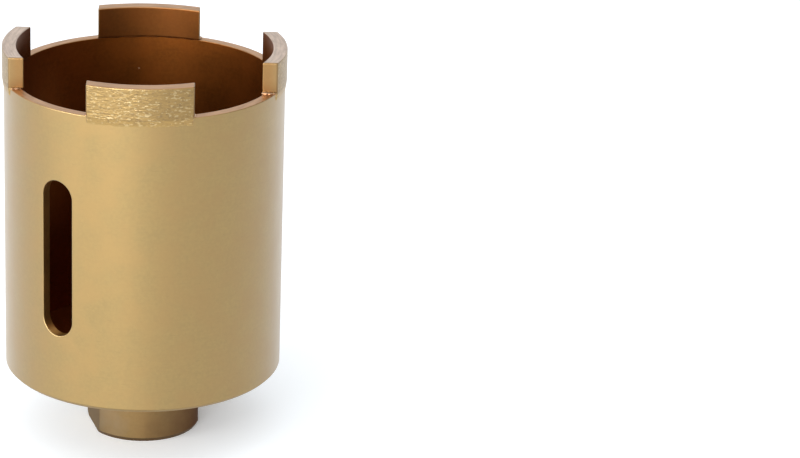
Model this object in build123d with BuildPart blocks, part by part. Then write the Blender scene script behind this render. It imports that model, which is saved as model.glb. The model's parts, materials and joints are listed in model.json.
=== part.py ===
from build123d import *
import os

# A dry diamond core bit, as it stands on the end of its hub with the cutting rim up.
# The origin is the centre of the hub's end face, and +Z runs along the axis to the rim.
# The first segment faces the front, -Y. Lengths are in millimetres, turns in degrees.

# Barrel, the steel tube that carries the segments
barrel_diameter = 67.2
barrel_wall = 2.5
barrel_reach = 73.5  # from the back plate's outer face to the rim

# Slots with round ends through the barrel's wall, for prising the core out
slot_count = 2
slot_width = 8.5
slot_length = 39.0
slot_rise = 17.0  # from the back plate's outer face to a slot's lower end
slot_turn = -35.5  # from the middle of the first segment

# Segments of diamond grit in metal, each with parallel ends, seated on the rim
segment_count = 4
segment_length = 25.0  # straight across, from end to end
segment_height = 7.6
segment_proud_outside = 0.4  # beyond the barrel's outer face, for clearance in the cut
segment_proud_inside = 0.5
first_segment_turn = -90.0

# Hub and back plate, turned in one piece
hub_diameter = 28.0
hub_length = 16.3
hub_end_chamfer = 0.6  # measured across the end face
hub_end_bevel = 1.0  # the same chamfer, measured along the hub
hub_root_fillet = 1.2
across_flats = 25.0
flat_length = 11.5  # from the end face to the collar at the root
flats_turn = -74.0  # from the middle of the first segment to one flat
plate_rim_thickness = 2.5
plate_edge_chamfer = 0.8
spigot_height = 1.5  # the step that centres the barrel on the plate
spigot_clearance = 0.05

# Bore for an M16 spindle: a plain mouth, then the thread's core diameter
thread_core_diameter = 14.0
mouth_diameter = 16.2
mouth_depth = 2.5
mouth_edge_chamfer = 0.3
thread_end_chamfer = 0.5

barrel_radius = barrel_diameter / 2
barrel_inner_radius = barrel_radius - barrel_wall
hub_radius = hub_diameter / 2
plate_back_z = hub_length
barrel_foot_z = plate_back_z + plate_rim_thickness
plate_inner_z = barrel_foot_z + spigot_height
rim_z = plate_back_z + barrel_reach
slot_middle_z = plate_back_z + slot_rise + slot_length / 2
segment_outer_radius = barrel_radius + segment_proud_outside
segment_inner_radius = barrel_inner_radius - segment_proud_inside

os.makedirs("parts", exist_ok=True)

# Barrel
with BuildPart() as barrel:
    with BuildSketch(Plane.XY.offset(barrel_foot_z)):
        Circle(barrel_radius)
        Circle(barrel_inner_radius, mode=Mode.SUBTRACT)
    extrude(amount=rim_z - barrel_foot_z)
    for number in range(slot_count):
        turn = first_segment_turn + slot_turn + number * 360 / slot_count
        outward = Vector(1, 0, 0).rotate(Axis.Z, turn)
        with BuildSketch(Plane((0, 0, slot_middle_z), x_dir=(0, 0, 1), z_dir=outward)):
            SlotOverall(slot_length, slot_width)
        extrude(amount=barrel_diameter, mode=Mode.SUBTRACT)
barrel.part.label = "barrel"
export_step(barrel.part, "parts/barrel.step")

# Flanged hub
with BuildPart() as flanged_hub:
    with BuildSketch():
        Circle(hub_radius)
    extrude(amount=hub_length)
    end_face = flanged_hub.faces().sort_by(Axis.Z)[0]
    chamfer(end_face.edges(), length=hub_end_chamfer, length2=hub_end_bevel, reference=end_face)

    with BuildSketch(Plane.XY.offset(plate_back_z)):
        Circle(barrel_radius)
    extrude(amount=plate_rim_thickness)
    with BuildSketch(Plane.XY.offset(barrel_foot_z)):
        Circle(barrel_inner_radius - spigot_clearance)
    extrude(amount=spigot_height)
    back_edges = flanged_hub.edges().filter_by(GeomType.CIRCLE).filter_by_position(
        Axis.Z, plate_back_z, plate_back_z
    )
    fillet(back_edges.sort_by(SortBy.RADIUS)[0], hub_root_fillet)
    chamfer(back_edges.sort_by(SortBy.RADIUS)[-1], plate_edge_chamfer)

    # Two spanner flats, cut from the end face and leaving a round collar at the root
    with BuildSketch():
        Circle(hub_diameter)
        Rectangle(
            across_flats,
            2 * hub_diameter,
            rotation=first_segment_turn + flats_turn,
            mode=Mode.SUBTRACT,
        )
    extrude(amount=flat_length, mode=Mode.SUBTRACT)

    # Bore, cut from the end face up through the plate
    with Locations(Plane.XY.rotated((180, 0, 0))):
        CounterBoreHole(
            radius=thread_core_diameter / 2,
            counter_bore_radius=mouth_diameter / 2,
            counter_bore_depth=mouth_depth,
            depth=plate_inner_z,
        )
    bore_edges = flanged_hub.edges().filter_by(GeomType.CIRCLE)
    core_edges = bore_edges.filter_by(lambda edge: abs(edge.radius - thread_core_diameter / 2) < 0.01)
    mouth_edges = bore_edges.filter_by(lambda edge: abs(edge.radius - mouth_diameter / 2) < 0.01)
    chamfer(mouth_edges.sort_by(Axis.Z)[0], mouth_edge_chamfer)
    chamfer(core_edges, thread_end_chamfer)
flanged_hub.part.label = "flanged_hub"
export_step(flanged_hub.part, "parts/flanged_hub.step")

# Segments, evenly spaced round the rim
for number in range(segment_count):
    turn = first_segment_turn + number * 360 / segment_count
    with BuildPart() as segment:
        with BuildSketch(Plane.XY.offset(rim_z).rotated((0, 0, turn))):
            Circle(segment_outer_radius)
            Circle(segment_inner_radius, mode=Mode.SUBTRACT)
            Rectangle(
                segment_outer_radius,
                segment_length,
                align=(Align.MIN, Align.CENTER),
                mode=Mode.INTERSECT,
            )
        extrude(amount=segment_height)
    segment.part.label = f"segment_{number + 1}"
    export_step(segment.part, f"parts/segment_{number + 1}.step")
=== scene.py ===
"""The looks of a dry diamond core bit, which stands on the end of its hub with the rim up."""

import json
import math

import bpy
import numpy as np
from mathutils import Euler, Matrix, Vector


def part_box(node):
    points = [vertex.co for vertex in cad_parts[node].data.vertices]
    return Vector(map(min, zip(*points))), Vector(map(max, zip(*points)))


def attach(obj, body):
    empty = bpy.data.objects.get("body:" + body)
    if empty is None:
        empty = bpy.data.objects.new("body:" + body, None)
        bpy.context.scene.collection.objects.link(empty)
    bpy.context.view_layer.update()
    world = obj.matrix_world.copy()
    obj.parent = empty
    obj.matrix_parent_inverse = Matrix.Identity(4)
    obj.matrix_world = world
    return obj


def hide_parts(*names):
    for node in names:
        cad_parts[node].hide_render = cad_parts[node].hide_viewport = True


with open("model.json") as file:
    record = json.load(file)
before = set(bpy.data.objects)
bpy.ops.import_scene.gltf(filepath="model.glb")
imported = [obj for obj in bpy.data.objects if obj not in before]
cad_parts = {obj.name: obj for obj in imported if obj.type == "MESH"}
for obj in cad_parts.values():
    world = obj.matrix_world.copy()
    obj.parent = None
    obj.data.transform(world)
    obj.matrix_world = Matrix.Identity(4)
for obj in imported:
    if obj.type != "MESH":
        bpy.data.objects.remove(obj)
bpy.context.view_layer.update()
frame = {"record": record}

MM = 0.001

# Sizes that the frame gives, in metres
barrel_low, barrel_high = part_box("barrel")
hub_low, hub_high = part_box("flanged_hub")
front_low, front_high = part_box("segment_1")
thread_mount = next(m for m in frame["record"]["mounts"] if m["name"] == "spindle_thread")

BARREL_RADIUS = barrel_high.x
BARREL_FOOT = barrel_low.z
RIM = barrel_high.z
HUB_END = hub_low.z
PLATE_INNER = hub_high.z
SEGMENT_TOP = front_high.z
SEGMENT_OUTER = -front_low.y
HALF_SEGMENT = front_high.x
SEGMENT_INNER = math.hypot(front_high.y, HALF_SEGMENT)
SEGMENT_THICK = SEGMENT_OUTER - SEGMENT_INNER
SEGMENT_TALL = SEGMENT_TOP - RIM
THREAD_CORE = thread_mount["dims"]["r_mm"] * MM

# Sizes that the boxes don't hold
BARREL_WALL = 2.5 * MM
BARREL_INNER = BARREL_RADIUS - BARREL_WALL
PLATE_RIM = 2.5 * MM
PLATE_BACK = BARREL_FOOT - PLATE_RIM
SPIGOT_CLEARANCE = 0.05 * MM
SPIGOT_RADIUS = BARREL_INNER - SPIGOT_CLEARANCE
HUB_RADIUS = 14.0 * MM
HALF_FLATS = 12.5 * MM
HALF_FLAT_TURN = math.acos(HALF_FLATS / HUB_RADIUS)
FLAT_LENGTH = 11.5 * MM
FLAT_TURN = math.radians(16.0)
SLOT_RADIUS = 4.25 * MM
SLOT_RISE = 17.0 * MM
SLOT_LENGTH = 39.0 * MM
SLOT_LOW = PLATE_BACK + SLOT_RISE
SLOT_HIGH = SLOT_LOW + SLOT_LENGTH
FIRST_SLOT_TURN = math.radians(-125.5)
SLOT_TURNS = (FIRST_SLOT_TURN, FIRST_SLOT_TURN + math.pi)
THREAD_PITCH = 2.0 * MM
THREAD_ROOT = 8.0 * MM
MOUTH_RADIUS = 8.1 * MM
MOUTH_DEPTH = 2.5 * MM
MOUTH_CHAMFER = 0.3 * MM
SEGMENT_TURNS = {f"segment_{number + 1}": math.radians(90 * number - 90) for number in range(4)}

WELD = 0.001 * MM  # points nearer than this are one point
CELL_SHIFT = 0.37  # keeps round numbers off the edges of the welding's cells
TINY = 1e-6  # for turns and cosines
SHARP = math.radians(28)  # Blender keeps an edge crisp beyond this turn


def into_scene(thing):
    """Links an object to the scene, and returns it."""
    bpy.context.scene.collection.objects.link(thing)
    return thing


class Skin:
    """Grids of points welded into one closed mesh, with a normal for each corner."""

    def __init__(self):
        self.points = []
        self.normals = []
        self.faces = []
        self.looks = []
        self.count = 0

    def grid(self, points, normals, look, exact=True):
        """Adds a grid, with one material for all its faces or one for each row or face.

        The normals turn its faces the right way, and shade them where they are exact.
        """
        rows, columns = points.shape[:2]
        index = np.arange(rows * columns).reshape(rows, columns)
        quads = np.stack([index[:-1, :-1], index[:-1, 1:], index[1:, 1:], index[1:, :-1]], -1)
        quads = quads.reshape(-1, 4)
        flat_points = points.reshape(-1, 3)
        flat_normals = normals.reshape(-1, 3)
        across = flat_points[quads[:, 2]] - flat_points[quads[:, 0]]
        along = flat_points[quads[:, 3]] - flat_points[quads[:, 1]]
        if np.sum(np.cross(across, along) * flat_normals[quads[:, 0]]) < 0:
            quads = quads[:, ::-1]
        self.points.append(flat_points)
        self.normals.append(flat_normals if exact else np.full_like(flat_normals, np.nan))
        self.faces.append(quads + self.count)
        self.looks.append(np.broadcast_to(look, (rows - 1, columns - 1)).reshape(-1))
        self.count += len(flat_points)

    def build(self, name, materials):
        """Welds the grids, drops what has collapsed, and returns the mesh object."""
        points = np.concatenate(self.points)
        normals = np.concatenate(self.normals)
        cells = np.floor(points / WELD + CELL_SHIFT).astype(np.int64)
        _, first, same = np.unique(cells, axis=0, return_index=True, return_inverse=True)
        same = same.reshape(-1)
        faces = []
        corners = []
        looks = []
        for quad, look in zip(np.concatenate(self.faces), np.concatenate(self.looks)):
            ring = [i for i, before in zip(quad, np.roll(quad, 1)) if same[i] != same[before]]
            if len(ring) < 3:
                continue
            faces.append([int(same[i]) for i in ring])
            corners.extend(ring)
            looks.append(int(look))
        mesh = bpy.data.meshes.new(name)
        mesh.from_pydata(points[first].tolist(), [], faces)
        mesh.polygons.foreach_set("material_index", looks)
        mesh.shade_smooth()
        mesh.set_sharp_from_angle(angle=SHARP)
        shading = np.empty(len(corners) * 3, np.float32)
        mesh.corner_normals.foreach_get("vector", shading)
        shading = shading.reshape(-1, 3)
        given = normals[corners]
        exact = ~np.isnan(given[:, 0])
        shading[exact] = given[exact]
        mesh.normals_split_custom_set(shading.tolist())
        for material in materials:
            mesh.materials.append(material)
        return into_scene(bpy.data.objects.new(name, mesh))


def around(radius, turn, height):
    """Points at a radius, a turn about the axis and a height. Directions are made the same way."""
    radius, turn, height = np.broadcast_arrays(radius, turn, height)
    return np.stack([radius * np.cos(turn), radius * np.sin(turn), height], -1)


def rounded_line(corners, arc_steps=4):
    """The rows (radius, height, and the normal's two) of a line through (radius, height, rounding).

    The solid is on the left of the way that the line runs. A sharp corner gives two rows.
    """
    rows = []
    places = [np.array(corner[:2]) for corner in corners]
    ways = [(b - a) / np.linalg.norm(b - a) for a, b in zip(places, places[1:])]
    rows.append([*places[0], ways[0][1], -ways[0][0]])
    for place, (before, after), corner in zip(places[1:], zip(ways, ways[1:]), corners[1:]):
        turn = math.atan2(before[0] * after[1] - before[1] * after[0], before @ after)
        rounding = corner[2] if len(corner) > 2 else 0.0
        start = place - before * rounding * math.tan(abs(turn) / 2)
        side = math.copysign(1.0, turn)
        centre = start + rounding * side * np.array([-before[1], before[0]])
        steps = arc_steps if rounding else 1
        for step in range(steps + 1):
            angle = turn * step / steps
            cos, sin = math.cos(angle), math.sin(angle)
            way = np.array([before[0] * cos - before[1] * sin, before[0] * sin + before[1] * cos])
            normal = np.array([way[1], -way[0]])
            rows.append([*(centre + normal * rounding * side), *normal])
    rows.append([*places[-1], ways[-1][1], -ways[-1][0]])
    return np.array(rows)


def revolve(skin, rows, turns, look):
    """Adds the surface that the rows of a rounded line sweep round the axis."""
    radius, height, outward, upward = rows.T[:, :, None]
    skin.grid(around(radius, turns, height), around(outward, turns, upward), look)


def between(rows):
    """The middle of each strip between two rows: its radius and height, and its normal's two."""
    return (rows[1:, :, None] + rows[:-1, :, None]).transpose(1, 0, 2) / 2


# Barrel
EDGE = 0.22 * MM  # rounding of the rim's and the slots' edges
EDGE_STEPS = 3
PATCH = 7.0 * MM  # half the width of the square-cornered patch round a slot
PATCH_CELLS = 8
PATCH_RINGS = 6
PATCH_CROWDING = 1.4  # above 1, the rings lie closer together by the slot
SLOT_SIDE_CELLS = 32
WALL_GAP_CELLS = 76  # columns between one slot's patch and the next
WALL_END_CELLS = 8  # rows above and below the patches
# Its materials, in order
OUTER_LOOK, BORE_LOOK, LAND_LOOK, SLOT_LOOK = range(4)


def slot_outline():
    """A slot's outline, from the middle of its top round by its foot and back.

    Gives the centre's height and the turn that place each point on the slot's edge, and how far
    across and how high it lies on the edge of the patch.
    """
    high = SLOT_HIGH - SLOT_RADIUS
    low = SLOT_LOW + SLOT_RADIUS
    steps = np.linspace(0, PATCH, PATCH_CELLS + 1)
    half = [(high, across, high + PATCH) for across in steps]
    half += [(high, PATCH, high + PATCH - drop) for drop in steps[1:]]
    half += [(height, PATCH, height) for height in np.linspace(high, low, SLOT_SIDE_CELLS + 1)[1:]]
    half += [(low, PATCH, low - drop) for drop in steps[1:]]
    half += [(low, across, low - PATCH) for across in steps[::-1][1:]]
    half = np.array(half)
    centres, across, heights = np.concatenate([half, half[-2::-1] * (1, -1, 1)]).T
    return centres, np.arctan2(across, heights - centres), across, heights


def slot_ring(radius, growth):
    """A ring round a slot, on a cylinder: each point's turn from the slot's middle, and its height."""
    centres, turns, _, _ = slot_outline()
    across = (SLOT_RADIUS + growth) * np.sin(turns)
    return np.arcsin(across / radius), centres + (SLOT_RADIUS + growth) * np.cos(turns)


def patch_ring():
    """The ring round a slot's patch, the same on both faces of the wall."""
    _, _, across, heights = slot_outline()
    return np.arcsin(across / BARREL_RADIUS), heights


def wall_turns():
    """Columns across a slot's patch, and across the gap to the next, from the slot's middle."""
    patch = np.arcsin(np.linspace(-PATCH, PATCH, 2 * PATCH_CELLS + 1) / BARREL_RADIUS)
    gap = np.linspace(patch[-1], math.pi + patch[0], WALL_GAP_CELLS + 1)
    return patch, gap


def wall(skin, radius, facing, top, look):
    """One face of the barrel's wall, up to a height, with patches round its slots."""
    patch, gap = wall_turns()
    outer_turns, outer_heights = patch_ring()
    side_heights = np.unique(np.round(outer_heights, 9))  # to a nanometre
    lower = np.linspace(BARREL_FOOT, side_heights[0], WALL_END_CELLS + 1)
    upper = np.linspace(side_heights[-1], top, WALL_END_CELLS + 1)
    all_heights = np.concatenate([lower, side_heights[1:], upper[1:]])
    for slot_turn in SLOT_TURNS:
        for turns, heights in ((gap, all_heights), (patch, lower), (patch, upper)):
            points = around(radius, slot_turn + turns, heights[:, None])
            skin.grid(points, around(facing, slot_turn + turns, 0 * heights[:, None]), look)
        inner_turns, inner_heights = slot_ring(radius, EDGE)
        share = np.linspace(0, 1, PATCH_RINGS + 1)[:, None] ** PATCH_CROWDING
        turns = slot_turn + inner_turns * (1 - share) + outer_turns * share
        heights = inner_heights * (1 - share) + outer_heights * share
        skin.grid(around(radius, turns, heights), around(facing, turns, 0 * heights), look)


def slot_wall(skin, slot_turn):
    """A slot's cut face, rounded into the outside and the inside of the barrel."""
    _, out_turns, _, _ = slot_outline()
    sideways = np.array([-math.sin(slot_turn), math.cos(slot_turn), 0])
    outward = np.sin(out_turns)[:, None] * sideways
    outward[:, 2] = np.cos(out_turns)
    points = []
    normals = []
    bends = np.linspace(0, math.pi / 2, EDGE_STEPS + 1)
    stations = [(BARREL_RADIUS - EDGE * (1 - math.cos(b)), b, 1) for b in bends]
    stations += [(BARREL_INNER + EDGE * (1 - math.cos(b)), b, -1) for b in bends[::-1]]
    for radius, bend, facing in stations:
        turns, heights = slot_ring(radius, EDGE * (1 - math.sin(bend)))
        points.append(around(radius, slot_turn + turns, heights))
        radial = around(facing, slot_turn + turns, 0 * heights)
        normals.append(math.cos(bend) * radial - math.sin(bend) * outward)
    # The rounding into the outside has the outside's paint
    look = np.where(np.arange(len(stations) - 1) < EDGE_STEPS, OUTER_LOOK, SLOT_LOOK)
    skin.grid(np.array(points), np.array(normals), look[:, None])


def rim_and_looks():
    """The rows of the rounded rim, and its looks: bare on top, and painted over its two edges."""
    line = [
        (BARREL_RADIUS, RIM - EDGE),
        (BARREL_RADIUS, RIM, EDGE),
        (BARREL_INNER, RIM, EDGE),
        (BARREL_INNER, RIM - EDGE),
    ]
    rows = rounded_line(line)
    radius, _, _, upward = between(rows)
    outer_look = np.where(upward > 0.8, LAND_LOOK, OUTER_LOOK)
    inner_look = np.where(upward > 0.5, LAND_LOOK, BORE_LOOK)
    return rows, np.where(radius < BARREL_INNER + EDGE, inner_look, outer_look)


def make_barrel(materials):
    """The tube, with a rounded rim and two slots."""
    skin = Skin()
    wall(skin, BARREL_RADIUS, 1, RIM - EDGE, OUTER_LOOK)
    wall(skin, BARREL_INNER, -1, RIM - EDGE, BORE_LOOK)
    rim_rows, rim_look = rim_and_looks()
    foot_line = [(BARREL_INNER, BARREL_FOOT), (BARREL_RADIUS, BARREL_FOOT)]
    for slot_turn in SLOT_TURNS:
        slot_wall(skin, slot_turn)
        for turns in wall_turns():
            revolve(skin, rim_rows, slot_turn + turns, rim_look)
            revolve(skin, rounded_line(foot_line), slot_turn + turns, OUTER_LOOK)
    return skin.build("barrel_shell", materials)


# Flanged hub
FLAT_CELLS = 28
FLAT_EDGE_TURN = math.radians(0.5)  # half the width over which a flat's long edge is softened
ROUND_CELLS = 48
END_CHAMFER = 0.6 * MM  # across the end face
END_BEVEL = 1.0 * MM  # along the hub
FLAT_END_EDGE = 0.15 * MM
ROOT_FILLET = 1.2 * MM
PLATE_CHAMFER = 0.8 * MM
PLATE_EDGE = 0.1 * MM  # rounding of the plate's crisp edges
PLATE_RIM_EDGE = 0.3 * MM
THREAD_MOUTH = THREAD_ROOT + 0.2 * MM  # radius of the thread's open end, in the barrel
# Its materials, in order
HUB_LOOK, RIM_LOOK, INSIDE_LOOK, THREAD_LOOK, SHADED_CHAMFER_LOOK, CHAMFER_LOOK = range(6)


def hub_turns():
    """Columns round the hub, close together at the long edges of its flats."""
    flat = np.arctan(np.linspace(-1, 1, FLAT_CELLS + 1) * math.tan(HALF_FLAT_TURN - FLAT_EDGE_TURN))
    start = HALF_FLAT_TURN + FLAT_EDGE_TURN
    end = math.pi - HALF_FLAT_TURN - FLAT_EDGE_TURN
    plain = np.linspace(start, end, ROUND_CELLS + 1)
    half = np.concatenate([[-HALF_FLAT_TURN], flat, [HALF_FLAT_TURN], plain])
    return FLAT_TURN + np.concatenate([half, half + math.pi, [2 * math.pi - HALF_FLAT_TURN]])


def flat_normals(turns):
    """The hub's normals along its flats and the rounds between them."""
    near = np.round((turns - FLAT_TURN) / math.pi) * math.pi + FLAT_TURN
    off = np.abs(turns - near)
    facing = np.where(off < HALF_FLAT_TURN - TINY, near, turns)
    facing = np.where(np.abs(off - HALF_FLAT_TURN) < TINY, (near + turns) / 2, facing)
    return around(1.0, facing, 0.0)


def hub_end(skin, turns):
    """The end face, its chamfer painted dark brown as painted shade, the side with the two flats, and the
    ledges above them.
    """
    flat_limit = HALF_FLATS / np.maximum(np.abs(np.cos(turns - FLAT_TURN)), TINY)
    limit = np.minimum(HUB_RADIUS, flat_limit)
    on_flat = limit < HUB_RADIUS - WELD
    cone_start = HUB_RADIUS - END_CHAMFER
    end_radius = np.minimum(cone_start, limit - FLAT_END_EDGE * on_flat)
    crossing = (limit - cone_start) * END_BEVEL / END_CHAMFER
    chamfer_top = np.where(on_flat, np.clip(crossing, FLAT_END_EDGE, END_BEVEL), END_BEVEL)

    mouth_ring = around(MOUTH_RADIUS + MOUTH_CHAMFER, turns, HUB_END)
    end_ring = around(end_radius, turns, HUB_END)
    chamfer_ring = around(limit, turns, HUB_END + chamfer_top)
    flat_ring = around(limit, turns, HUB_END + FLAT_LENGTH)
    collar_ring = around(HUB_RADIUS, turns, HUB_END + FLAT_LENGTH)
    down = np.stack([around(0.0, turns, -1.0)] * 2)
    outward = np.stack([around(1.0, turns, 0.0)] * 2)
    skin.grid(np.stack([mouth_ring, end_ring]), down, HUB_LOOK)
    skin.grid(np.stack([end_ring, chamfer_ring]), outward, SHADED_CHAMFER_LOOK, exact=False)
    skin.grid(np.stack([chamfer_ring, flat_ring]), np.stack([flat_normals(turns)] * 2), HUB_LOOK)
    skin.grid(np.stack([flat_ring, collar_ring]), down, HUB_LOOK)


def back_plate(skin, turns):
    """The collar, the plate with its chamfer and rim, the spigot, and the plate's inner face."""
    line = [
        (HUB_RADIUS, HUB_END + FLAT_LENGTH),
        (HUB_RADIUS, PLATE_BACK, ROOT_FILLET),
        (BARREL_RADIUS - PLATE_CHAMFER, PLATE_BACK, PLATE_EDGE),
        (BARREL_RADIUS, PLATE_BACK + PLATE_CHAMFER, PLATE_RIM_EDGE),
        (BARREL_RADIUS, BARREL_FOOT),
        (SPIGOT_RADIUS, BARREL_FOOT),
        (SPIGOT_RADIUS, PLATE_INNER, PLATE_EDGE),
        (THREAD_MOUTH, PLATE_INNER),
    ]
    rows = rounded_line(line, arc_steps=6)
    radius, height, _, upward = between(rows)
    edge_look = np.where(upward < -0.3, CHAMFER_LOOK, RIM_LOOK)
    look = np.where(radius > BARREL_RADIUS - PLATE_CHAMFER - PLATE_EDGE, edge_look, HUB_LOOK)
    look = np.where(height > BARREL_FOOT + WELD, INSIDE_LOOK, look)
    revolve(skin, rows, turns, look)


def bore_mouth(skin, turns):
    """The bore's plain painted mouth, with its chamfer."""
    line = [
        (MOUTH_RADIUS, HUB_END + MOUTH_DEPTH),
        (MOUTH_RADIUS, HUB_END + MOUTH_CHAMFER),
        (MOUTH_RADIUS + MOUTH_CHAMFER, HUB_END),
    ]
    revolve(skin, rounded_line(line), turns, HUB_LOOK)


THREAD_LOW = HUB_END + MOUTH_DEPTH
THREAD_HIGH = PLATE_INNER
# Where a flank starts and ends, in pitches from the middle of the root's flat
FLANK_START = 1 / 16
FLANK_END = 3 / 8


def thread_radius(turns, heights):
    """The bore's radius on a right-hand thread, opened out to a cone at each end."""
    phase = (heights / THREAD_PITCH - turns / (2 * math.pi)) % 1.0
    climb = np.clip((np.abs(phase - 0.5) - FLANK_START) / (FLANK_END - FLANK_START), 0, 1)
    radius = THREAD_ROOT + (THREAD_CORE - THREAD_ROOT) * climb
    lead_in = MOUTH_RADIUS - (heights - THREAD_LOW)
    lead_out = THREAD_MOUTH - (THREAD_HIGH - heights)
    return np.maximum(radius, np.maximum(lead_in, lead_out))


def thread(skin, turns):
    """The thread's surface, in rows that climb with it, so that its crests stay crisp."""
    # Shares of the pitch: the ends of the flats, and places between them
    breaks = [0.0, 1 / 8, 7 / 32, 5 / 16, 3 / 8, 7 / 16, 9 / 16, 5 / 8, 11 / 16, 25 / 32, 7 / 8]
    first = math.floor(THREAD_LOW / THREAD_PITCH) - 2
    last = math.ceil(THREAD_HIGH / THREAD_PITCH) + 2
    rows = np.array([number + share for number in range(first, last) for share in breaks])
    heights = np.clip((rows[:, None] + turns / (2 * math.pi)) * THREAD_PITCH, THREAD_LOW, THREAD_HIGH)
    points = around(thread_radius(turns, heights), turns, heights)
    skin.grid(points, around(-1.0, turns, 0 * heights), THREAD_LOOK, exact=False)


def make_hub(materials):
    """Hub and back plate, with the spanner flats and the threaded bore."""
    skin = Skin()
    turns = hub_turns()
    hub_end(skin, turns)
    back_plate(skin, turns)
    bore_mouth(skin, turns)
    thread(skin, turns)
    return skin.build("flanged_hub_body", materials)


# Segments
SEGMENT_EDGE = 0.28 * MM
CORNER_STEPS = 3
CELLS_ALONG = 200
CELLS_UP = 60
CELLS_DEEP = 14
GROUND_DEPTH = 0.035 * MM  # how far the ground face lies below the tops of its tallest grains
STREAK_KNOT = 1.4 * MM
STREAK_DEPTH = 0.008 * MM
SCRATCHES = 260  # on a whole face, like the grains
SCRATCH_LONGEST = 3.2 * MM
SCRATCH_HALF_LENGTH = (0.15, 0.5)  # as shares of the longest
SCRATCH_HALF_WIDTH = (0.05 * MM, 0.13 * MM)
SCRATCH_DEPTH = (0.01 * MM, 0.03 * MM)
SCRATCH_TILT = 0.025
GRAINS = 230
GRAIN_SIZE = (0.10 * MM, 0.26 * MM)
GRAIN_TAIL = (1.0, 2.6)  # as shares of the grain's size
GRAIN_TALL = (0.35, 1.0)
# The materials of a segment, in order
GROUND_LOOK, INNER_LOOK, TOP_LOOK, END_LOOK = range(4)


def streaks(rng, along, up):
    """Level lines that run along a ground face, each row with its own slow waves."""
    knots = np.arange(along[0] - STREAK_KNOT, along[-1] + 2 * STREAK_KNOT, STREAK_KNOT)
    waves = rng.normal(size=(len(up), len(knots)))
    return STREAK_DEPTH * np.array([np.interp(along, knots, row) for row in waves]).T


def scratch_depth(rng, along, up, count):
    """Grooves that the grinding wheel left, nearly level, in a sheet of depths."""
    depth = np.zeros((len(along), len(up)))
    for _ in range(count):
        middle = rng.uniform(along[0], along[-1])
        height = rng.uniform(up[0], up[-1])
        half_length = rng.uniform(*SCRATCH_HALF_LENGTH) * SCRATCH_LONGEST
        half_width = rng.uniform(*SCRATCH_HALF_WIDTH)
        tilt = rng.normal() * SCRATCH_TILT
        deepest = rng.uniform(*SCRATCH_DEPTH)
        run = (along - middle)[:, None]
        off = up[None, :] - height - tilt * run
        groove = np.clip(1 - (run / half_length) ** 2, 0, 1) * np.clip(1 - (off / half_width) ** 2, 0, 1)
        depth = np.maximum(depth, deepest * groove)
    return depth


def grain_height(rng, along, up, count):
    """Diamond grains that stand out of the matrix, each with a short tail behind it."""
    height = np.zeros((len(along), len(up)))
    for _ in range(count):
        middle = rng.uniform(along[0], along[-1])
        level = rng.uniform(up[0], up[-1])
        size = rng.uniform(*GRAIN_SIZE)
        tail = rng.uniform(*GRAIN_TAIL) * size
        tall = rng.uniform(*GRAIN_TALL)
        run = (along - middle)[:, None]
        off = up[None, :] - level
        reach = np.where(run > 0, tail, size)
        grain = np.exp(-((run / reach) ** 2) - (off / size) ** 2)
        height = np.maximum(height, tall * grain)
    return height


def ground_relief(rng, along, up, area_share=1.0):
    """How far each point of a ground face lies below its highest grains."""
    lines = streaks(rng, along, up)
    scratches = scratch_depth(rng, along, up, int(SCRATCHES * area_share))
    grains = grain_height(rng, along, up, int(GRAINS * area_share))
    level = GROUND_DEPTH * (1 - grains)
    return np.clip(level + scratches + lines, 0, 3 * GROUND_DEPTH)


def segment_section():
    """The loop round a segment's section: the line inside its roundings, and the normals.

    Both are (depth, height), where depth runs outwards from the inner face. The loop starts at the
    outer face's foot.
    """
    corners = np.array([(SEGMENT_THICK, 0), (SEGMENT_THICK, SEGMENT_TALL), (0, SEGMENT_TALL), (0, 0)])
    cell_counts = [CELLS_UP, CELLS_DEEP] * 2
    bends = np.linspace(0, math.pi / 2, CORNER_STEPS + 2)[1:-1]
    core = []
    normals = []
    for start, end, cells in zip(corners, np.roll(corners, -1, axis=0), cell_counts):
        way = (end - start) / np.linalg.norm(end - start)
        facing = np.array([way[1], -way[0]])
        inset = -facing * SEGMENT_EDGE
        run = np.linspace(start + way * SEGMENT_EDGE, end - way * SEGMENT_EDGE, cells + 1) + inset
        core.extend(run)
        normals.extend([facing] * len(run))
        for bend in bends:
            core.append(run[-1])
            normals.append(math.cos(bend) * facing + math.sin(bend) * way)
    core.append(core[0])
    normals.append(normals[0])
    return np.array(core), np.array(normals)


def beside(turn, along, radius, height):
    """Points by a segment: along it from its middle, at a radius from the axis, above the rim."""
    along, radius, height = np.broadcast_arrays(along, radius, height)
    outward = np.sqrt(radius**2 - along**2)
    x = outward * math.cos(turn) - along * math.sin(turn)
    y = outward * math.sin(turn) + along * math.cos(turn)
    return np.stack([x, y, RIM + height], -1)


def segment_stations():
    """Places along a segment, from its middle, and how much of its roundings' reach each one has."""
    half = HALF_SEGMENT - SEGMENT_EDGE
    bends = np.linspace(0, math.pi / 2, CORNER_STEPS + 2)
    run = np.linspace(-half, half, CELLS_ALONG + 1)
    first = -half - SEGMENT_EDGE * np.sin(bends[:0:-1])
    last = half + SEGMENT_EDGE * np.sin(bends[1:])
    out = np.concatenate([np.cos(bends[:0:-1]), np.ones(len(run)), np.cos(bends[1:])])
    return np.concatenate([first, run, last]), out


def sink_ground_face(depth, relief):
    """Lowers the ground face by its relief, and the roundings above and below it with its rows."""
    top = CELLS_UP + 1
    share = np.linspace(1, 0, CORNER_STEPS + 2)[1:-1]
    depth[:, :top] -= relief
    depth[:, top : top + CORNER_STEPS] -= relief[:, -1:] * share
    depth[:, -1 - CORNER_STEPS : -1] -= relief[:, :1] * share[::-1]
    depth[:, -1] = depth[:, 0]


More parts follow.
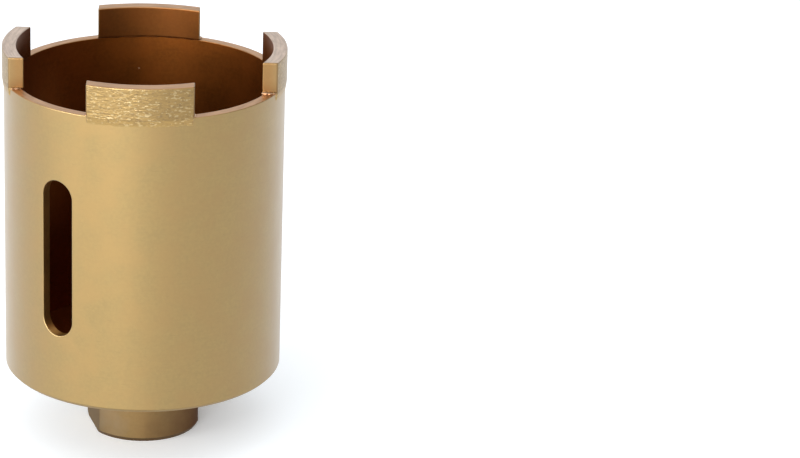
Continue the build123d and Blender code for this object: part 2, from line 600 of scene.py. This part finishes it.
def segment_look(along, facing):
    """The material of each face of a segment, but for its two flat ends."""
    inward = -(facing[1:, 0] + facing[:-1, 0]) / 2
    upward = (facing[1:, 1] + facing[:-1, 1]) / 2
    # The top is bare as far as its outer rounding, and over half of its inner one
    bare = (upward > 0.75) | ((upward > 0.5) & (inward > 0))
    look = np.where(bare, TOP_LOOK, np.where(inward > 0.3, INNER_LOOK, GROUND_LOOK))
    rounded_end = np.abs(along[1:] + along[:-1]) / 2 > HALF_SEGMENT - SEGMENT_EDGE
    return np.where(rounded_end[:, None], END_LOOK, look)


def make_segment(name, turn, rng, materials):
    """A segment with parallel ends, rounded edges, and a ground outer face with grains in it."""
    skin = Skin()
    core, facing = segment_section()
    along, out = segment_stations()
    depth = core[:, 0] + facing[:, 0] * SEGMENT_EDGE * out[:, None]
    height = core[:, 1] + facing[:, 1] * SEGMENT_EDGE * out[:, None]
    face_heights = height[len(along) // 2, : CELLS_UP + 1]
    sink_ground_face(depth, ground_relief(rng, along, face_heights) * out[:, None])

    middle = beside(turn, 0.0, SEGMENT_INNER + SEGMENT_THICK / 2, SEGMENT_TALL / 2)
    points = beside(turn, along[:, None], SEGMENT_INNER + depth, height)
    skin.grid(points, points - middle, segment_look(along, facing), exact=False)

    # The two flat ends, inside their roundings
    up = np.linspace(SEGMENT_EDGE, SEGMENT_TALL - SEGMENT_EDGE, CELLS_UP + 1)
    deep = np.linspace(SEGMENT_EDGE, SEGMENT_THICK - SEGMENT_EDGE, CELLS_DEEP + 1)
    for side in (-1, 1):
        end = beside(turn, side * HALF_SEGMENT, SEGMENT_INNER + deep[:, None], up)
        skin.grid(end, end - middle, END_LOOK, exact=False)
    return skin.build(name + "_body", materials)


# Braze at the segments' feet
GROUND_REACH = 1.8 * MM  # how far below the rim the grinding wheel has marked the barrel
FOOT_STEP = 0.15 * MM  # what is left of the braze's thickness there
GROUND_ROWS = 20
GROUND_SHARE = 0.3  # scratches and grains, as a share of those on a segment's face
SLOPE_TOP = 1.3 * SEGMENT_EDGE  # above the rim, where the slope starts on the segment
SUNK = 0.25 * MM  # how deep the slope's back lies in the barrel's wall
UPWARD = np.array([0.0, 0.0, 1.0])
BEAD_SIDES = 12
SEAM_POINTS = 90
END_POINTS = 24
LUMP_RINGS = 14
LUMP_SIDES = 24
LUMP_LOBES = 5
LUMP_SWELL = (0.05, 0.16)
LUMP_FULL = 1.25  # a lump's least radius is its size over this
# The lumps that show: which end of the segment, how far across the wall, and the size
BRAZE_LUMPS = {
    "segment_1": [(1, 0.35, 0.35 * MM)],
    "segment_2": [
        (-1, 0.20, 0.85 * MM),
        (-1, 0.55, 0.80 * MM),
        (-1, 0.85, 0.50 * MM),
        (1, 0.50, 0.50 * MM),
    ],
    "segment_3": [(1, 0.06, 0.45 * MM), (-1, 0.7, 0.6 * MM)],
    "segment_4": [(1, 0.45, 0.55 * MM), (-1, 0.3, 0.7 * MM)],
}
# The drops of spatter: the turn in degrees, the height, and the size
SPATTER = [
    (94.6, 81.4 * MM, 0.30 * MM),
    (71.0, 66.0 * MM, 0.18 * MM),
    (-64.0, 78.0 * MM, 0.22 * MM),
]
# The materials of the braze, in order
RUN_LOOK, SLOPE_LOOK, SEAM_LOOK = range(3)


def wander(rng, count, knots, low, high):
    """A smooth row of numbers that wander between a low and a high one."""
    return np.interp(np.linspace(0, knots - 1, count), np.arange(knots), rng.uniform(low, high, knots))


def bead(skin, path, across, half_width, half_height, look):
    """A level bead along a path, with a half width and height at each point, closed at its ends."""
    turns = np.linspace(0, 2 * math.pi, BEAD_SIDES + 1)[:, None]
    taper = np.sqrt(np.clip(1 - np.linspace(-1, 1, len(path)) ** 8, 0, 1))
    width = (half_width * taper)[:, None, None]
    height = (half_height * taper)[:, None, None]
    ring = np.cos(turns) * np.array(across) * width + np.sin(turns) * UPWARD * height
    skin.grid(path[:, None] + ring, ring, look, exact=False)


def lump(skin, rng, centre, size, squash=(1.0, 1.0, 1.0)):
    """An uneven drop of metal, half sunk in what it lies on."""
    rings = np.linspace(0, math.pi, LUMP_RINGS + 1)[:, None]
    turns = np.linspace(0, 2 * math.pi, LUMP_SIDES + 1)
    ball = around(np.sin(rings), turns, np.cos(rings))
    swell = 1.0
    for _ in range(LUMP_LOBES):
        lobe = rng.normal(size=3)
        lobe /= np.linalg.norm(lobe)
        swell = swell + rng.uniform(*LUMP_SWELL) * np.clip(ball @ lobe, 0, 1) ** 3
    points = centre + ball * (swell * size / LUMP_FULL)[..., None] * np.array(squash)
    skin.grid(points, ball, RUN_LOOK, exact=False)


def ground_slope(skin, turn, rng):
    """Braze ground down from the proud segment to the barrel's face, with a ragged lower edge."""
    along = np.linspace(-HALF_SEGMENT, HALF_SEGMENT, CELLS_ALONG + 1)
    reach = wander(rng, len(along), knots=40, low=0.84, high=1.0) * GROUND_REACH
    share = np.linspace(0, 1, GROUND_ROWS + 1)
    height = SLOPE_TOP - share * (reach[:, None] + SLOPE_TOP)
    rows = np.linspace(-GROUND_REACH, SLOPE_TOP, GROUND_ROWS + 1)
    relief = ground_relief(rng, along, rows, GROUND_SHARE)
    end_fade = np.clip((HALF_SEGMENT - np.abs(along)) / SEGMENT_EDGE, 0, 1)[:, None]
    fall = SEGMENT_OUTER - BARREL_RADIUS - FOOT_STEP
    slope = SEGMENT_OUTER - fall * np.clip(-height / reach[:, None], 0, 1)
    face = slope - relief[:, ::-1] * (1 - share) ** 2 - (1 - end_fade) * SEGMENT_EDGE
    back = np.full((len(along), 1), BARREL_RADIUS - SUNK)
    radius = np.concatenate([face, back, back, face[:, :1]], 1)
    height = np.concatenate([height, height[:, -1:], height[:, :1], height[:, :1]], 1)
    # Both ends close on the middle of the section's back
    along = np.pad(along, 1, mode="edge")
    radius = np.pad(radius, ((1, 1), (0, 0)), constant_values=BARREL_RADIUS - SUNK)
    height = np.pad(height, ((1, 1), (0, 0)))
    points = beside(turn, along[:, None], radius, height)
    outward = points - beside(turn, along[:, None], radius.min(), -0.2 * GROUND_REACH)
    skin.grid(points, outward, SLOPE_LOOK, exact=False)


def inner_seam(skin, turn, rng):
    """Painted braze inside the barrel, under the segment's overhanging foot."""
    along = np.linspace(-HALF_SEGMENT, HALF_SEGMENT, SEAM_POINTS)
    path = beside(turn, along, BARREL_INNER - 0.05 * MM, -0.02 * MM)
    half_width = wander(rng, SEAM_POINTS, knots=22, low=0.10 * MM, high=0.42 * MM)
    half_height = wander(rng, SEAM_POINTS, knots=24, low=0.10 * MM, high=0.36 * MM)
    bead(skin, path, (-math.cos(turn), -math.sin(turn), 0.0), half_width, half_height, SEAM_LOOK)


def end_beads(skin, turn, rng):
    """Braze across the rim, at both ends of a segment."""
    radius = np.linspace(BARREL_INNER + 0.1 * MM, BARREL_RADIUS - 0.1 * MM, END_POINTS)
    for side in (-1, 1):
        path = beside(turn, side * HALF_SEGMENT, radius, 0.0)
        half_width = wander(rng, END_POINTS, knots=7, low=0.15 * MM, high=0.45 * MM)
        half_height = wander(rng, END_POINTS, knots=7, low=0.15 * MM, high=0.40 * MM)
        bead(skin, path, (-math.sin(turn), math.cos(turn), 0.0), half_width, half_height, RUN_LOOK)


def end_lumps(skin, name, turn, rng):
    """The lumps at the ends of a segment, wider across the wall than along the rim."""
    squash = (0.9 + 0.5 * abs(math.cos(turn)), 0.9 + 0.5 * abs(math.sin(turn)), 0.65)
    for side, share, size in BRAZE_LUMPS[name]:
        radius = BARREL_INNER + share * BARREL_WALL
        centre = beside(turn, side * (HALF_SEGMENT + 0.15 * MM), radius, 0.05 * MM)
        lump(skin, rng, centre, size, squash)


def make_braze(name, turn, rng, materials):
    """The braze that holds a segment: as it ran at the ends, ground outside, and painted inside."""
    skin = Skin()
    ground_slope(skin, turn, rng)
    inner_seam(skin, turn, rng)
    end_beads(skin, turn, rng)
    end_lumps(skin, name, turn, rng)
    return skin.build(name.replace("segment", "braze"), materials)


def make_spatter(rng, materials):
    """Drops of braze that flew onto the barrel's inner face."""
    skin = Skin()
    for turn, height, size in SPATTER:
        centre = around(BARREL_INNER - 0.1 * size, math.radians(turn), height)
        lump(skin, rng, centre, size)
    return skin.build("braze_spatter", materials)


# Materials
COAT_ROUGHNESS = 0.34
COAT_IOR = 1.7
HAZE_ROUGHNESS = 0.35
UNTINTED = (1.0, 1.0, 1.0)
GOLD = (0.354, 0.232, 0.062)
# Painted shade: the hub, the plate's back and the bore's mouth have a darker copy of the barrel's gold,
# for the shade under the barrel
HUB_SHADED_GOLD = (0.256, 0.164, 0.061)
HUB_LIT_GREY = (0.285, 0.208, 0.118)  # painted reflection: the hub's lit left side, greyed as if it mirrored the bright studio
# Painted shade: the hub's right side, browned
HUB_SHADE_BROWN = (0.160, 0.080, 0.030)
HUB_GRAZED = (0.36, 0.30, 0.26)
# Painted shade: the hub's end chamfer in a dark brown, for the shadowed floor that it mirrors
HUB_CHAMFER_SHADE = (0.150, 0.095, 0.045)
# Inside the barrel and on the plate's inner face: a browner paint, darkened further as painted shade of
# the cup's inside
INSIDE_SHADED_BRONZE = (0.238, 0.074, 0.013)
LAND_PINK = (0.455, 0.245, 0.108)
# Painted reflection: a paler, greyer tone for the side segments' tops
LAND_SHEEN_PALE = (0.550, 0.430, 0.345)
END_ORANGE = (0.290, 0.162, 0.048)
# Painted light and shade on the segments' ends: paler towards the ground face, browner at the foot
END_LIT_PALE = (0.292, 0.188, 0.072)
END_FOOT_SHADE = (0.215, 0.102, 0.022)
SLOT_BRONZE = (0.400, 0.230, 0.066)
# The segments' inner faces: a dark reddish brown, partly painted shade of the cup's inside
SEGMENT_SHADED_BRONZE = (0.198, 0.067, 0.013)
SEAM_BROWN = (0.120, 0.040, 0.010)
MATRIX = (0.324, 0.204, 0.057)
GRAIN = (0.550, 0.425, 0.215)
PIT = (0.190, 0.118, 0.040)
SLOPE_TILT_LIGHT = 1.30  # painted light: the slope below a segment is made lighter, to offset the shade of its downward tilt
SLOPE_FADE = (RIM - 1.2 * MM, RIM - 0.4 * MM)  # where its marks thin out into the paint
COPPER = (0.400, 0.200, 0.090)
# Painted highlight on the braze's crowns
COPPER_HIGHLIGHT = (0.540, 0.360, 0.210)
SOOT = (0.090, 0.045, 0.022)
STEEL_DARK = (0.42, 0.41, 0.40)
STEEL_LIGHT = (0.62, 0.61, 0.59)


class Tree:
    """A node tree that is filled by short calls."""

    def __init__(self, owner):
        self.owner = owner
        owner.use_nodes = True
        self.nodes = owner.node_tree.nodes
        self.links = owner.node_tree.links
        self.nodes.clear()

    def add(self, kind, inputs=(), **settings):
        """Adds a node, and sets or links its inputs."""
        node = self.nodes.new("ShaderNode" + kind)
        for name, value in settings.items():
            setattr(node, name, value)
        for name, value in dict(inputs).items():
            self.feed(node.inputs[name], value)
        return node

    def feed(self, socket, value):
        """Links a value that is a socket, and sets any other."""
        if isinstance(value, bpy.types.NodeSocket):
            self.links.new(value, socket)
        else:
            socket.default_value = value

    def math(self, operation, *values):
        """Adds a Math node and returns its output."""
        node = self.nodes.new("ShaderNodeMath")
        node.operation = operation
        for socket, value in zip(node.inputs, values):
            self.feed(socket, value)
        return node.outputs[0]

    def blend(self, share, first, second):
        """Mixes two colours and returns the outcome."""
        node = self.nodes.new("ShaderNodeMix")
        node.data_type = "RGBA"
        for name, value in (("Factor_Float", share), ("A_Color", first), ("B_Color", second)):
            socket = next(socket for socket in node.inputs if socket.identifier == name)
            self.feed(socket, (*value, 1.0) if isinstance(value, tuple) else value)
        return next(socket for socket in node.outputs if socket.identifier == "Result_Color")

    def scaled(self, vector, factor):
        """Multiplies a vector or a colour by a number."""
        return self.add("VectorMath", {0: vector, "Scale": factor}, operation="SCALE").outputs["Vector"]

    def apart(self, vector):
        """Separates a vector, and returns the outputs X, Y and Z."""
        return self.add("SeparateXYZ", {"Vector": vector}).outputs

    def span(self, value, low, high, new_low=0.0, new_high=1.0):
        """Maps a range of values onto another, and holds its ends."""
        limits = {"From Min": low, "From Max": high, "To Min": new_low, "To Max": new_high}
        return self.add("MapRange", {"Value": value, **limits}).outputs["Result"]

    def close(self, kind, inputs, output="OutputMaterial"):
        """Ends the tree with a shader, and returns the material or world that owns it."""
        shader = self.add(kind, inputs)
        self.add(output, {"Surface": shader.outputs[0]})
        return self.owner

    def noise(self, vector, scale=1.0, detail=2.0, roughness=0.5):
        """Adds a noise texture and returns its strength."""
        inputs = {"Vector": vector, "Scale": scale, "Detail": detail, "Roughness": roughness}
        return self.add("TexNoise", inputs).outputs["Fac"]


class Turned:
    """Texture places round the axis, for the marks of a lathe or a grinding wheel."""

    def __init__(self, tree):
        self.tree = tree
        self.place = tree.add("TexCoord").outputs["Object"]
        parts = tree.apart(self.place)
        level = tree.add("CombineXYZ", {"X": parts["X"], "Y": parts["Y"]}).outputs["Vector"]
        self.across = parts["X"]
        self.radius = tree.add("VectorMath", {0: level}, operation="LENGTH").outputs["Value"]
        self.around = tree.add("VectorMath", {0: level}, operation="NORMALIZE").outputs["Vector"]
        self.height = parts["Z"]
        # A length that grows along every profile: up the barrel, and outwards over its end faces
        self.run = tree.math("ADD", tree.math("MULTIPLY", self.radius, 1.6), self.height)

    def marks(self, arc, width, shift=0.0, detail=2.0):
        """Noise in marks of an arc, as a share of the radius, and of a width in metres."""
        tree = self.tree
        parts = tree.apart(tree.scaled(self.around, 1 / arc))
        inputs = {"X": parts["X"], "Y": parts["Y"], "Z": tree.math("DIVIDE", self.run, width)}
        vector = tree.add("CombineXYZ", inputs).outputs["Vector"]
        moved = tree.add("VectorMath", {0: vector, 1: (shift, shift, shift)}, operation="ADD")
        return tree.noise(moved.outputs["Vector"], 1.0, detail, 0.6)


def finish_metal(tree, colour, roughness, coat, height, depth, edge=UNTINTED, haze=0.0):
    """Closes a metal's tree with its shader and a bump of a given depth, and returns the material.

    At a flat angle the metal takes on the edge's tint, under the lacquer's pale haze.
    """
    bump = tree.add("Bump", {"Distance": depth, "Height": height})
    inputs = {
        "Base Color": colour,
        "Metallic": 1.0,
        "Roughness": roughness,
        "Specular Tint": (*edge, 1.0),
        "Sheen Weight": haze,
        "Sheen Roughness": HAZE_ROUGHNESS,
        "Coat Weight": coat,
        "Coat Roughness": COAT_ROUGHNESS,
        "Coat IOR": COAT_IOR,
        "Normal": bump.outputs["Normal"],
    }
    return tree.close("BsdfPrincipled", inputs)


def tinted(colour, factor):
    """A colour made darker or lighter."""
    return tuple(part * factor for part in colour)


def satin_paint(name, colour, roughness, coat=0.0, spread=0.05, edge=UNTINTED, haze=0.0, tone_change=None):
    """Metallic paint over turned steel: faint turning marks, soft blotches and a few scuffs."""
    tree = Tree(bpy.data.materials.new(name))
    turned = Turned(tree)
    marks = turned.marks(arc=0.25, width=0.35 * MM)
    scuffs = turned.marks(arc=0.10, width=0.30 * MM, shift=7.3, detail=1.0)
    blotches = tree.noise(turned.place, scale=170.0)
    grain = tree.noise(turned.place, scale=1300.0)
    mottling = tree.span(tree.math("MULTIPLY_ADD", marks, 0.4, grain), 0.5, 0.9)
    warm = (colour[0] * 1.03, colour[1] * 0.95, colour[2] * 0.92)
    tone = tree.blend(mottling, tinted(colour, 1 - spread), tinted(colour, 1 + spread))
    tone = tree.blend(tree.span(blotches, 0.35, 0.65, 0.0, 0.6), tone, warm)
    tone = tree.blend(tree.span(scuffs, 0.70, 0.78, 0.0, 0.22), tone, tinted(colour, 0.6))
    # Painted light and shade, where a tone change is given
    if tone_change:
        tone = tone_change(tree, turned, tone)
    worn = tree.span(blotches, 0.3, 0.7, roughness - 0.03, roughness + 0.03)
    return finish_metal(tree, tone, worn, coat, marks, 0.002 * MM, edge, haze)


def hub_side_shading(tree, turned, clean):
    """The hub's paint, greyed on its left side as a painted reflection and browned on its right as painted
    shade.
    """
    cloud = tree.noise(turned.place, scale=260.0, detail=3.0)
    ragged = tree.math("MULTIPLY_ADD", cloud, 10 * MM, tree.math("SUBTRACT", turned.across, 5 * MM))
    tone = tree.blend(tree.span(ragged, -3 * MM, -12 * MM), clean, HUB_LIT_GREY)
    tone = tree.blend(tree.span(ragged, 1 * MM, 13 * MM), tone, HUB_SHADE_BROWN)
    # It fades over the plate's back
    return tree.blend(tree.span(turned.radius, HUB_RADIUS + 1 * MM, HUB_RADIUS + 7 * MM), tone, clean)


def end_shading(tree, turned, tone):
    """A segment's end: browned by painted shade towards its foot, and made paler by painted light towards
    the ground face.
    """
    low = tree.span(turned.height, RIM, RIM + 3.2 * MM, 0.8, 0.0)
    near_face = tree.span(turned.radius, BARREL_INNER + 1.0 * MM, SEGMENT_OUTER, 0.0, 0.9)
    tone = tree.blend(near_face, tone, END_LIT_PALE)
    return tree.blend(low, tone, END_FOOT_SHADE)


def ground_metal(name):
    """Sintered bronze and diamond: ground in level streaks, with bright grains and dark pits."""
    tree = Tree(bpy.data.materials.new(name))
    turned = Turned(tree)
    streak = turned.marks(arc=0.06, width=0.34 * MM, detail=3.0)
    fleck = turned.marks(arc=0.024, width=0.44 * MM, shift=3.1, detail=1.0)
    pit = turned.marks(arc=0.030, width=0.42 * MM, shift=9.7, detail=1.0)
    patch = tree.noise(turned.place, scale=160.0)
    tone = tree.blend(tree.span(streak, 0.3, 0.7), tinted(MATRIX, 0.84), tinted(MATRIX, 1.14))
    tone = tree.blend(tree.span(pit, 0.56, 0.66, 0.0, 0.55), tone, PIT)
    bare = tree.math("SUBTRACT", fleck, tree.span(patch, 0.35, 0.6, 0.0, 0.06))
    tone = tree.blend(tree.span(bare, 0.54, 0.63, 0.0, 0.60), tone, GRAIN)
    # Over the barrel, the ground marks thin out into the paint below them
    ragged = tree.math("MULTIPLY_ADD", streak, 1.6 * MM, turned.height)
    ground = tree.span(ragged, *SLOPE_FADE)
    # Painted light: the slope is lightened where its downward tilt would shade it
    tilt_light = tree.span(turned.height, SLOPE_FADE[1], RIM, SLOPE_TILT_LIGHT, 1.0)
    tone = tree.scaled(tree.blend(ground, GOLD, tone), tilt_light)
    roughness = tree.span(ground, 0.0, 1.0, 0.40, 0.42)
    coat = tree.span(ground, 0.0, 1.0, 1.0, 0.7)
    marks = tree.math("MULTIPLY", streak, ground)
    return finish_metal(tree, tone, roughness, coat, marks, 0.006 * MM)


def brazed_land(name):
    """The pinkish, fire-stained metal of the rim and of the segments' tops."""
    tree = Tree(bpy.data.materials.new(name))
    turned = Turned(tree)
    tone_change = turned.marks(arc=0.16, width=0.9 * MM, shift=1.7, detail=3.0)
    fine = turned.marks(arc=0.05, width=0.25 * MM, shift=5.9)
    # The tops of the segments at the left and the right are painted paler, as a painted reflection of the
    # white studio
    sideways = tree.span(tree.math("ABSOLUTE", turned.across), 20 * MM, 29 * MM)
    side_sheen = tree.math("MULTIPLY", sideways, tree.span(turned.height, RIM + 3 * MM, RIM + 6 * MM))
    tone = tree.blend(side_sheen, LAND_PINK, LAND_SHEEN_PALE)
    tone = tree.scaled(tone, tree.span(tone_change, 0.3, 0.7, 0.74, 1.16))
    tone = tree.blend(tree.span(fine, 0.60, 0.75, 0.0, 0.6), tone, tinted(LAND_PINK, 0.6))
    roughness = tree.span(tone_change, 0.3, 0.7, 0.42, 0.34)
    return finish_metal(tree, tone, roughness, 0.2, fine, 0.006 * MM)


def copper_braze(name):
    """Braze as it ran: coppery, with a painted highlight on its upward-facing crowns, and sooty in places.
    """
    tree = Tree(bpy.data.materials.new(name))
    place = tree.add("TexCoord").outputs["Object"]
    broad = tree.noise(place, scale=900.0, detail=3.0)
    fine = tree.noise(place, scale=2600.0)
    facing = tree.apart(tree.add("NewGeometry").outputs["Normal"])["Z"]
    tone = tree.blend(tree.span(broad, 0.35, 0.65), tinted(COPPER, 0.8), tinted(COPPER, 1.15))
    # Painted highlight: paler where the surface faces up
    tone = tree.blend(tree.span(facing, 0.2, 0.9, 0.0, 0.75), tone, COPPER_HIGHLIGHT)
    tone = tree.blend(tree.span(fine, 0.58, 0.68, 0.0, 0.8), tone, SOOT)
    roughness = tree.span(broad, 0.3, 0.7, 0.30, 0.44)
    return finish_metal(tree, tone, roughness, 0.5, fine, 0.010 * MM)


def cut_steel(name):
    """Bare cut steel, for the thread."""
    tree = Tree(bpy.data.materials.new(name))
    marks = Turned(tree).marks(arc=0.4, width=0.16 * MM, detail=3.0)
    tone = tree.blend(marks, STEEL_DARK, STEEL_LIGHT)
    roughness = tree.span(marks, 0.3, 0.7, 0.22, 0.34)
    return finish_metal(tree, tone, roughness, 0.0, marks, 0.004 * MM)


# Floor, light and camera
WHITE = (1.0, 1.0, 1.0, 1.0)
FLOOR_REACH = 30.0
FLOOR_WHITE = (0.86, 0.86, 0.86)  # to all other light
FLOOR_SHOWN = (0.89, 0.94, 0.985)  # to the camera, so that it shows white round a neutral shadow
FLOOR_MIRRORED = (0.60, 0.60, 0.60)  # in the part's metal
SHOWN_GLOW = 0.190  # white that is added to the camera's view of it
MIRRORED_GLOW = 0.28  # and to its mirror image in the metal


def make_floor():
    """A wide pale table, which shows white and keeps the part's shadow."""
    tree = Tree(bpy.data.materials.new("table"))
    rays = tree.add("LightPath").outputs
    mirrored = tree.math("MAXIMUM", rays["Is Glossy Ray"], rays["Is Transmission Ray"])
    mirrored_glow = tree.math("MULTIPLY", mirrored, MIRRORED_GLOW)
    shown_glow = tree.math("MULTIPLY", rays["Is Camera Ray"], SHOWN_GLOW)
    colour = tree.blend(mirrored, FLOOR_WHITE, FLOOR_MIRRORED)
    inputs = {
        "Base Color": tree.blend(rays["Is Camera Ray"], colour, FLOOR_SHOWN),
        "Roughness": 0.9,
        "Specular IOR Level": 0.0,
        "Emission Color": WHITE,
        "Emission Strength": tree.math("ADD", mirrored_glow, shown_glow),
    }
    mesh = bpy.data.meshes.new("table")
    corners = [(x * FLOOR_REACH, y * FLOOR_REACH, 0.0) for x, y in ((-1, -1), (1, -1), (1, 1), (-1, 1))]
    mesh.from_pydata(corners, [], [(0, 1, 2, 3)])
    mesh.materials.append(tree.close("BsdfPrincipled", inputs))
    floor = into_scene(bpy.data.objects.new("table", mesh))


DIM_SIDE = (0.985, 0.174, 0.0)  # the way to the studio's dimmer side, at the right
DIM_COSINES = (0.60, 0.95)  # of the angle to it, where the dimming starts and where it is full
DIM_STRENGTH = 0.15


def make_world():
    """A plain white studio all round, dimmer at the right."""
    tree = Tree(bpy.data.worlds.new("studio"))
    way = tree.add("TexCoord").outputs["Generated"]
    nearness = tree.add("VectorMath", {0: way, 1: DIM_SIDE}, operation="DOT_PRODUCT").outputs["Value"]
    strength = tree.span(nearness, *DIM_COSINES, 1.0, DIM_STRENGTH)
    inputs = {"Color": WHITE, "Strength": strength}
    bpy.context.scene.world = tree.close("Background", inputs, "OutputWorld")


LAMP_DISTANCE = 5.2
LAMP_SIZE = 2.8
# Turn from the front (left is negative) and rise, in degrees, and watts
LAMPS = {
    "front_lamp": (-18.0, 10.5, 233.0),
    "left_lamp": (-60.0, 12.0, 226.0),
}


def softbox(name, turn, rise, watts):
    """A square lamp that faces the part, at a turn and a rise."""
    lamp = bpy.data.lights.new(name, "AREA")
    lamp.shape = "SQUARE"
    lamp.size = LAMP_SIZE
    lamp.energy = watts
    box = into_scene(bpy.data.objects.new(name, lamp))
    turn = math.radians(turn)
    rise = math.radians(rise)
    way = Vector((math.sin(turn) * math.cos(rise), -math.cos(turn) * math.cos(rise), math.sin(rise)))
    box.location = way * LAMP_DISTANCE
    aim = Vector((0.0, 0.0, RIM / 2)) - box.location
    box.rotation_euler = aim.to_track_quat("-Z", "Y").to_euler()


CAMERA_PLACE = (0.02557, -0.77095, 0.3419)
CAMERA_TURN = (69.3768, -1.8788, -2.0199)  # degrees
CAMERA_LENS = 152.185  # mm, like the sensor
CAMERA_SENSOR = 36.0


def make_camera():
    """The photograph's camera, worked out from the part's outline."""
    lens = bpy.data.cameras.new("camera")
    lens.sensor_width = CAMERA_SENSOR
    lens.lens = CAMERA_LENS
    camera = into_scene(bpy.data.objects.new("camera", lens))
    camera.location = CAMERA_PLACE
    camera.rotation_euler = Euler([math.radians(angle) for angle in CAMERA_TURN])
    bpy.context.scene.camera = camera


SEED = 4


def make_shells(land):
    """The barrel and the hub."""
    outside = satin_paint("gold_paint", GOLD, 0.40, coat=1.0, haze=0.20)
    inside = satin_paint("inside_shaded_bronze", INSIDE_SHADED_BRONZE, 0.46, spread=0.12)
    slot_paint = satin_paint("slot_paint", SLOT_BRONZE, 0.46, coat=0.1, spread=0.08)
    # The hub's paint is a darker gold as painted shade, with painted light and shade on its two sides
    shaded_hub_paint = satin_paint("hub_shaded_gold_paint", HUB_SHADED_GOLD, 0.42, coat=0.25, edge=HUB_GRAZED, tone_change=hub_side_shading)
    steel = cut_steel("cut_steel")
    hub_chamfer_shade = satin_paint("hub_chamfer_shade", HUB_CHAMFER_SHADE, 0.50, spread=0.10)
    plate_edge = satin_paint("plate_edge", GOLD, 0.42, coat=0.4)
    barrel = make_barrel([outside, inside, land, slot_paint])
    hub = make_hub([shaded_hub_paint, outside, inside, steel, hub_chamfer_shade, plate_edge])
    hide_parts("barrel")
    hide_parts("flanged_hub")
    return [barrel, hub]


def make_segments(land):
    """The segments, the braze at their feet, and the drops of it inside the barrel."""
    metal = ground_metal("ground_bronze")
    inner_paint = satin_paint("segment_bronze", SEGMENT_SHADED_BRONZE, 0.44, coat=0.1, spread=0.08)
    end_paint = satin_paint("end_paint", END_ORANGE, 0.42, coat=0.45, tone_change=end_shading)
    braze = copper_braze("copper_braze")
    seam = satin_paint("painted_seam", SEAM_BROWN, 0.60, spread=0.15)
    rng = np.random.default_rng(SEED)
    pieces = []
    for name, turn in SEGMENT_TURNS.items():
        segment = make_segment(name, turn, rng, [metal, inner_paint, land, end_paint])
        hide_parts(name)
        joint = make_braze(name, turn, rng, [braze, metal, seam])
        pieces += [segment, joint]
    pieces.append(make_spatter(rng, [braze]))
    return pieces


def make_part():
    """All the pieces of the part, riding on its one body."""
    land = brazed_land("brazed_land")
    for piece in make_shells(land) + make_segments(land):
        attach(piece, "root")


def main():
    make_part()
    make_floor()
    make_world()
    for name, (turn, rise, watts) in LAMPS.items():
        softbox(name, turn, rise, watts)
    make_camera()
    bpy.context.scene.view_settings.view_transform = "Standard"


main()
